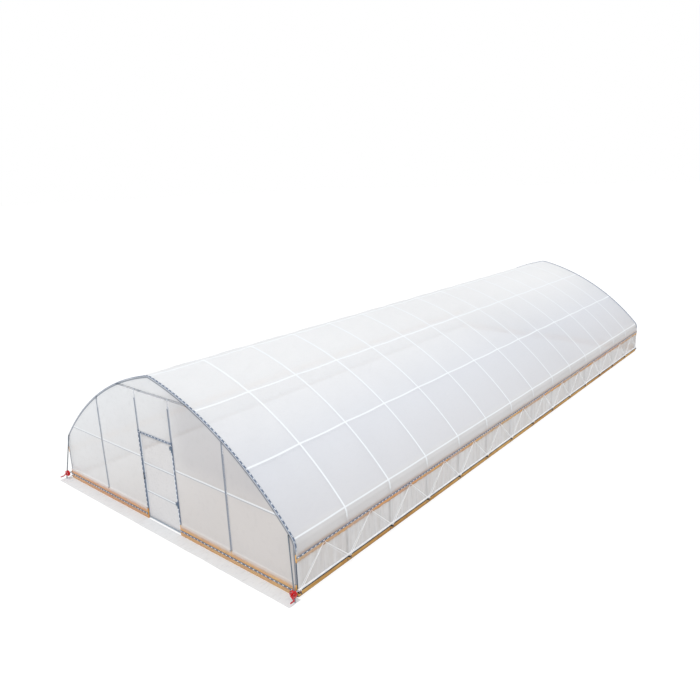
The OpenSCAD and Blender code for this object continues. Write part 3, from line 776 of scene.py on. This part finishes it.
def add_wall(name, node, begin, end, foot, cells, facing=1):
    """One end wall sheet, from one place along the arch to another and down to foot, in columns and rows of
    cells. Facing is -1 at the back."""
    columns, rows = cells
    over_board = foot_rows if foot < end_board_h else 0
    bottom, board_top = end_board_h + 0.02 if over_board else foot, end_board_h + board_gap
    y_in, y_out, posts = film_in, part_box("front_base_boards")[0].y, "front_posts"
    if facing < 0:
        y_in, y_out, posts = back_y + front_y - film_in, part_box("back_base_board")[1].y, "back_posts"

    def point(u, v):
        top = arch_at(begin + (end - begin) * u, wall_reach)
        row = round(v * (rows + over_board)) - over_board
        if row < 0:
            z = board_top + (foot - board_top) * (-row - 1) / (over_board - 1)
            return Vector((top.x, y_out - facing * 0.0022, z))
        z = bottom + (top.z - bottom) * row / rows
        edge = min(row / rows, 1 - row / rows, (1 - abs(2 * u - 1)) * 2) * 6
        bulge = 0.5 + 0.5 * uneven(top.x * 1.6, z * 1.1, 11.0 * facing)
        crease = sin(7 * (top.x * 1.2 + z) + 4 * uneven(top.x, z, 2.0))
        y = y_in - facing * (0.0012 + kept(edge) * (0.006 * bulge + 0.0015 * (1 + crease)))
        return Vector((top.x, y, z))

    bed = new_sheet(columns, rows + over_board, point)
    if facing < 0:
        bmesh.ops.reverse_faces(bed, faces=bed.faces)
    wall = add_object(name, bed, wall_white, "clear_film", smooth=True)
    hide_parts(node)


door_s = arch_s(post_x)
add_wall("wall_film_left", "front_film_left", -bend_end, -door_s, foot_z, (56, 44))
add_wall("wall_film_right", "front_film_right", door_s, bend_end, foot_z, (56, 44))
add_wall("wall_film_over_door", "front_film_over_door", -door_s, door_s, header_z, (20, 20))
add_wall("wall_film_back", "back_film", -bend_end, bend_end, foot_z, (120, 44),
         facing=-1)

# ---- Roll-up sides: a film curtain from the hip channel down to a long tube that winds it up
# The curtain is slack, so the zigzag rope creases it; it clings to the lower part of the hip board.
sides = ((-1, "left"), (1, "right"))
curtain_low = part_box("right_roll_tube")[1].z - 0.006
curtain_l, curtain_drop = back_y - front_y + 2 * hoop_r, hip_channel_z - curtain_low
rope_in, rope_drop = 0.006, 0.009
rope_foot = Vector((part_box("right_rope")[1].x - rope_in, 0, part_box("right_rail_clamps")[1].z))
rope_top = Vector((hip_channel[1].x - rope_in, bay / 2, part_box("right_rope")[1].z - rope_drop))


def cling_to_board(place):
    """1 where the curtain clings to the hip board, down to a wavy edge."""
    wave = place.grain(0.16, 2.0, (0, 1, 0)) * 0.07
    damp = place.grain(0.5, 3.0, (0, 1, 1)).ease(0.38, 0.6, 0.5, 1.0)
    return (place.z + wave).ease(hip_low + 0.035, hip_low + 0.06) * damp


def slack_tone(place):
    """The curtain's colours: dulled in streaks by soil that splashes up."""
    return place.grain(0.12, 4.0, (1, 1, 0.12)).ease(0.35, 0.65).mix((232, 230, 229), (216, 211, 207))


def under_ropes(place):
    """1 where the zigzag rope presses the curtain, less along the fold beside it, and faint at the hoops."""
    from_hoop = from_hoops(place)
    above = place.z - rope_foot.z - from_hoop * ((rope_top.z - rope_foot.z) / rope_top.y)
    pressed = abs(above).ease(0.008, 0.026, 0.9, 0.0)
    beside = abs(above + 0.07 - from_hoop * 0.06).ease(0.004, 0.016, 0.45, 0.0)
    return pressed.most(beside).most(over_hoops(place, 0.012, 0.03) * 0.25)


curtain_white = film("curtain_film", slack_tone, 0.84, 0.95, cling=cling_to_board, clearing=0.58,
                     lie=(1, 1, 0.16), folds=0.3, near=under_ropes)


def curtain_point(u, v):
    """Where the right curtain hangs: it bellies between the board and the roll, and the rope dents it."""
    y, z = front_y - hoop_r + curtain_l * u, curtain_low + curtain_drop * v
    t = ((y - front_y) / bay) % 1.0
    free = sin(pi * kept(v / 0.86)) ** 0.7 if v < 0.86 else 0.0
    dent = exp(-((abs(2 * t - 1) - v) * 9) ** 2)
    folds = uneven(y * 5.0, z * 1.3, 1.0) + 0.5 * uneven(y * 14.0, z * 3.0, 5.0)
    slant = sin(26 * (y * 0.55 + z * (1 if t < 0.5 else -1)) + 6 * uneven(y * 2, z * 2, 9.0))
    belly = free * (0.004 * folds + 0.002 * slant - 0.006 * dent)
    return Vector((half_w + hip_face_off + belly, y, z))


for side, name in sides:
    bed = new_sheet(448, 18, curtain_point)
    if side < 0:
        bmesh.ops.scale(bed, verts=bed.verts, vec=(-1, 1, 1))
        bmesh.ops.reverse_faces(bed, faces=bed.faces)
    curtain = add_object(name + "_side_curtain", bed, curtain_white, "clear_film", smooth=True)
    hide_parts(name + "_curtain")

# ---- Roll tubes: a steel tube along the foot of each curtain, with the spare film wound round it
# The film is wound in a slightly uneven roll with a low ridge at its free edge; the bare ends stick out.
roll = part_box("right_roll_tube")
roll_x, roll_z = middle("right_roll_tube", "x"), middle("right_roll_tube", "z")
wound_r, wound_over, wound_steps, core_r = (roll[1].z - roll[0].z) / 2 - 0.003, 0.03, 336, 0.0165
wound_y, wound_l = front_y - wound_over, back_y - front_y + 2 * wound_over
wound_white = coat("wound_film", (234, 238, 244), (255, 255, 255), (0.03, 3.0, (1, 0.25, 1)), (0.35, 0.65),
                   rough=(0.3, 0.14), depth=0.0012, Specular_IOR_Level=0.45)
for side, name in sides:
    line = [(side * roll_x, wound_y + wound_l * i / wound_steps, roll_z) for i in range(wound_steps + 1)]
    bed = add_tube(bmesh.new(), line, wound_r, 14)
    for vert in bed.verts:
        out = Vector((vert.co.x - side * roll_x, 0, vert.co.z - roll_z))
        around = atan2(out.z, out.x * side)
        lump = 0.0018 * uneven(vert.co.y * 3, around * 1.2, side)
        edge = 0.0016 * exp(-((around - 0.5 - 0.3 * uneven(vert.co.y * 0.8, 4, 4)) * 6) ** 2)
        vert.co += out.normalized() * (lump + edge)
    wound = add_object(name + "_film_roll", outward(bed), wound_white, "roll_wrap", smooth=True)
    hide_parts(name + "_roll_tube")
    core = add_tube(bmesh.new(), [(side * roll_x, corner.y, roll_z) for corner in roll], core_r, 20)
    add_object(name + "_roll_core", outward(core), hoop_zinc, "galvanized_tube")

# ---- Base rails and clamps: a dark tube along the foot boards, held to every hoop by a black clamp
# Its dark blue is painted shade, as the rail lies in the shadow of the roll.
# The moulded clamps are closed from above by two bolts.
dress(coat("rail_painted_shade", (12, 24, 44), (36, 52, 76), (0.12, 5.0, (1, 0.2, 1)), (0.4, 0.75), rough=(0.3, 0.3)),
      "left_base_rail", "right_base_rail")
clamp_black = coat("clamp_black", (24, 25, 28), (46, 48, 53), (0.03,), (0.3, 0.7), grain=(0.003, 2.0),
                   rough=(0.42, 0.25), depth=0.0003)
dress(clamp_black, "left_rail_clamps", "right_rail_clamps")
clamp_low, clamp_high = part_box("right_rail_clamps")
clamp_bolt_x, clamp_bolt_z = clamp_low.x + 0.048, clamp_high.z - 0.0002
bolt_places = [axes((side * clamp_bolt_x, y + dy, clamp_bolt_z), (0, 1, 0), (0, 0, 1))
               for side in both for y in hoop_ys for dy in (-0.02, 0.02)]
add_bolts("rail_clamp_bolts", 0.0065, 0.006, bolt_places, bright_zinc, slot="clamp_black")

# ---- Zigzag ropes: white three-strand rope, pulled tight between the hip board and the base rail
# It passes round a hook at each turn, and is bound there with red-brown twine.
rope_r, rope_lay, rope_lobe, rope_step = 0.0058, 0.055, 0.14, 0.0115
twine_in, twine_wall, twine_w, twine_step, twine_turns = 0.0062, 0.0022, 0.0034, 0.005, 4
rope_white = coat("rope_white", (255, 255, 255), (236, 235, 232), (0.35, 2.0), (0.45, 0.85),
                  grain=(0.0015, 3.0), rough=(0.65, 0.3), depth=0.0006, Specular_IOR_Level=0.3,
                  Sheen_Weight=0.2)
twine_brown = coat("twine_brown", (132, 66, 48), (188, 104, 74), (0.004, 2.0, (1, 1, 3)), (0.35, 0.65),
                   depth=0.0008, Roughness=0.8)
for side, name in sides:
    foot, top = (Vector((side * end.x, end.y, end.z)) for end in (rope_foot, rope_top))
    run = bmesh.new()
    for low, high in ((foot, top), (top, foot + Vector((0, bay, 0)))):
        count = round((high - low).length / rope_step)
        add_tube(run, [low.lerp(high, k / count) for k in range(count + 1)], rope_r, 6, rope_lay, rope_lobe)
    strand = repeat(run, [move((0, y, 0)) for y in hoop_ys[:-1]])
    rope = add_object(name + "_zigzag_rope", strand, rope_white, "rope", smooth=True)
    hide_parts(name + "_rope")
    binding = bmesh.new()
    for k in range(twine_turns):
        add_ring(binding, twine_in, twine_wall, twine_w, 10, move((0, 0, k * twine_step - 0.009)))
    turns = [foot + Vector((0, y, 0)) for y in hoop_ys] + [top + Vector((0, y, 0)) for y in hoop_ys[:-1]]
    turn_places = [move(at) @ Matrix.Rotation(0.35 * (-1) ** k, 4, "X") for k, at in enumerate(turns)]
    add_object(name + "_rope_bindings", repeat(binding, turn_places), twine_brown, "rope")

# ---- Guide poles: dull zinc tubes that lean on the end hoops and guide the winches as they climb
# Each stands on the ground, and a black cap closes its top.
dress(zinc("pole_zinc", (136, 146, 156), (88, 98, 110), 0.4, 0.5), "left_guide_pole", "right_guide_pole")
pole_low, pole_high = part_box("right_guide_pole")
cap_x, cap_y, cap_z = pole_low.x + 0.0125, pole_high.y - 0.0122, pole_high.z - 0.0015
pole_cap = bmesh.new()
bmesh.ops.create_cone(pole_cap, cap_ends=True, segments=20, radius1=0.0118, radius2=0.0105, depth=0.006)
cap_places = [axes((side * cap_x, cap_y, cap_z), (0, 1, 0), (-side * 0.15, 0.1, 1.0)) for side in both]
add_object("guide_pole_caps", repeat(pole_cap, cap_places), clamp_black, "clamp_black")


# ---- Winches and cranks: red cast housings on the roll tube ends, with crank handles
# The housing is two halves bolted round its rim, and its glossy paint has dull scuffs.
def red_paint(name, colour, shade):
    """Glossy enamel over cast metal, a little uneven, with dull scuffs."""
    finish = Finish(name, Specular_IOR_Level=0.35, Coat_Weight=0.15, Coat_Roughness=0.2)
    orange_peel = finish.place.grain(0.004, 2.0)
    scuffs = finish.place.grain(0.018, 5.0).ease(0.62, 0.72)
    cast = finish.place.grain(0.05).ease(0.3, 0.7)
    finish.feed(Base_Color=(scuffs * 0.35).mix(cast.mix(shade, colour), (120, 44, 44)),
                Roughness=0.26 + scuffs * 0.35 + orange_peel * 0.1)
    finish.bump(orange_peel * 0.6 - scuffs * 0.4, 0.0004)
    return finish.material


housing_red = red_paint("housing_red", (214, 12, 24), (172, 6, 16))
dress(housing_red, "left_winch", "right_winch")
dress(red_paint("crank_red", (230, 22, 38), (198, 12, 26)), "left_crank", "right_crank")
winch_face, winch_r, bolt_count, crank_l = front_y - 0.18, 0.07, 6, 0.105
rim_wall, rim_depth, rim_offs = 0.003, 0.007, (0.005, 0.03)
rim_bolts = bmesh.new()
for k in range(bolt_count):
    angle = tau * (k + 0.5) / bolt_count
    centre = Vector((cos(angle), 0, sin(angle))) * winch_r * 0.8
    add_bolt(rim_bolts, axes(centre, (1, 0, 0), forward), 0.0045, 0.005)
winch_places = [move((side * roll_x, winch_face, roll_z)) for side in both]
add_object("winch_bolts", repeat(rim_bolts, winch_places), bright_zinc, "winch_red")
rim = bmesh.new()
add_ring(rim, winch_r - 0.0005, rim_wall, rim_depth, 40, to_y)
rim_places = [move((side * roll_x, winch_face + off, roll_z)) for side in both for off in rim_offs]
add_object("winch_rims", repeat(rim, rim_places), housing_red, "winch_red")
grip_red = coat("grip_red", (150, 22, 32), (192, 40, 50), (0.02,), (0.3, 0.7), grain=(0.002, 2.0),
                rough=(0.5, 0.2), depth=0.0003)
crank_angle = radians(-40)
grip_rings, grip_step, grip_off = 9, 0.0085, 0.042
for side, name in sides:
    grip = bmesh.new()
    for k in range(grip_rings):
        add_ring(grip, 0.011, 0.0022, 0.0048, 18, move((0, 0, k * grip_step - 0.036)))
    centre = (side * (roll_x + crank_l * cos(crank_angle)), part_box(name + "_crank")[0].y + grip_off,
              roll_z + crank_l * sin(crank_angle))
    add_object(name + "_crank_grip", repeat(grip, [axes(centre, (1, 0, 0), forward)]), grip_red, "crank_red",
               name + "_crank")

# ---- Doorway: a header and a threshold between the posts, with a lock channel round it
# Both are round zinc-dipped tube, fixed between the two door posts.
dress(shaded_zinc, "door_header")
dress(hoop_zinc, "door_threshold")

# ---- Door: a welded leaf of square tube with two cross bars, hung on two dark pin hinges
# Its film is stretched over the outer face and held by a row of screws and washers round the edge.
dress(zinc("leaf_zinc", (176, 190, 206), (126, 142, 162), 0.36), "door_leaf")
dress(shaded_zinc, "hinge_brackets", "hinge_straps")
dress(clamp_black, "door_handle")
leaf, leaf_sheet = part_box("door_leaf"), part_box("door_film")
leaf_tube = 0.03
cross_bars = (0.696, 1.374)
leaf_bars = (leaf[0].z + leaf_tube / 2, *cross_bars, leaf[1].z - leaf_tube / 2)
leaf_w, leaf_h = leaf_sheet[1].x - leaf_sheet[0].x, leaf_sheet[1].z - leaf_sheet[0].z


def over_leaf(place):
    """1 over the tubes of the door leaf."""
    stile = leaf[1].x - leaf_tube
    over = abs(place.x).ease(stile - 0.006, stile + 0.002)
    for bar in cross_bars:
        over = over.most(place.z.band(bar, leaf_tube / 2, leaf_tube / 2 + 0.008))
    return over


def under_bars(place):
    """1 along the shaded lower edge of each cross bar."""
    low, high = (place.z.band(bar - leaf_tube / 2 - 0.009, 0.006, 0.014, 0.5) for bar in cross_bars)
    return low.most(high)


def leaf_point(u, v):
    """Where the door's film lies: flat on the tubes, and a little slack between them."""
    x, z = (u - 0.5) * leaf_w, leaf_sheet[0].z + v * leaf_h
    free = kept(min(min(abs(z - bar) for bar in leaf_bars), leaf_w / 2 - abs(x)) * 9)
    belly = 0.004 * uneven(x * 3, z * 2.2, 21.0) + 0.0014 * sin(34 * (x + 0.7 * z))
    return Vector((x, leaf_sheet[1].y - 0.0012 + free * (belly - 0.0015), z))


leaf_film = film("leaf_film", lambda place: place.grain(0.6).mix((242, 240, 240), (234, 232, 232)), 0.88,
                 0.97, near=over_leaf, shade=under_bars)
leaf_bed = new_sheet(40, 66, leaf_point)
leaf_cover = add_object("door_leaf_film", leaf_bed, leaf_film, "clear_film", "door", True)
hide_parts("door_film")
screw_x, screw_y, screw_step = leaf[1].x - leaf_tube / 2, leaf_sheet[1].y - 0.0022, 0.15
screw_spots = [(side * screw_x, leaf[0].z + leaf_tube + k * screw_step) for side in both for k in range(14)]
screw_spots += [(k * screw_step, z) for z in leaf_bars for k in range(-3, 4)]
screw_places = [axes((x, screw_y, z), (1, 0, 0), forward) for x, z in screw_spots]
add_bolts("door_film_screws", 0.0052, 0.003, screw_places, bright_zinc, body="door", slot="door_tube")
strap_low, strap_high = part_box("hinge_straps")
strap_y, strap_up, strap_bolt_z = leaf_sheet[0].y - 0.0063, strap_high.z - 0.05, 0.022
hinge_bolts = [axes((strap_low.x + dx, strap_y, z + dz), (1, 0, 0), forward)
               for z in (cross_bars[0], strap_up) for dx in (0.018, 0.05)
               for dz in (strap_bolt_z, -strap_bolt_z)]
add_bolts("hinge_strap_bolts", 0.005, 0.004, hinge_bolts, bright_zinc, body="door", slot="door_hardware")

# ---- Ground strip: the wall film runs on over the ground before the door wall, and lies flat
# It is creased from lying, and its front edge is cut a little unevenly.
skirt_low, skirt_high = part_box("front_skirt")
skirt_w, skirt_d = skirt_high.x - skirt_low.x, skirt_high.y - skirt_low.y
edge_in, wander = 0.012, 0.012
skirt_white = film("ground_film", lambda place: place.grain(0.4).mix((238, 238, 238), (226, 226, 226)), 0.74,
                   gloss=0.45, folds=0.25)


def skirt_point(u, v):
    """Where the strip lies: on the ground with small ridges, its front edge and ends wandering a little."""
    across = 2 * u - 1
    x, y = across * skirt_w / 2, skirt_low.y + v * skirt_d
    ridge = uneven(x * 4.5, y * 3.0, 31.0) + 0.5 * uneven(x * 13, y * 9, 32.0)
    edge = wander * uneven(x * 1.5, 5.0, 33.0)
    end = wander * uneven(y * 6, 8.0, 34.0 + across)
    return Vector((x * 0.996 + (end - 0.006) * across ** 9, y + (edge_in + edge) * (1 - v),
                   0.002 + 0.004 * max(ridge, 0.0)))


skirt = add_object("ground_strip", new_sheet(220, 10, skirt_point), skirt_white, "ground_film", smooth=True)
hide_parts("front_skirt")
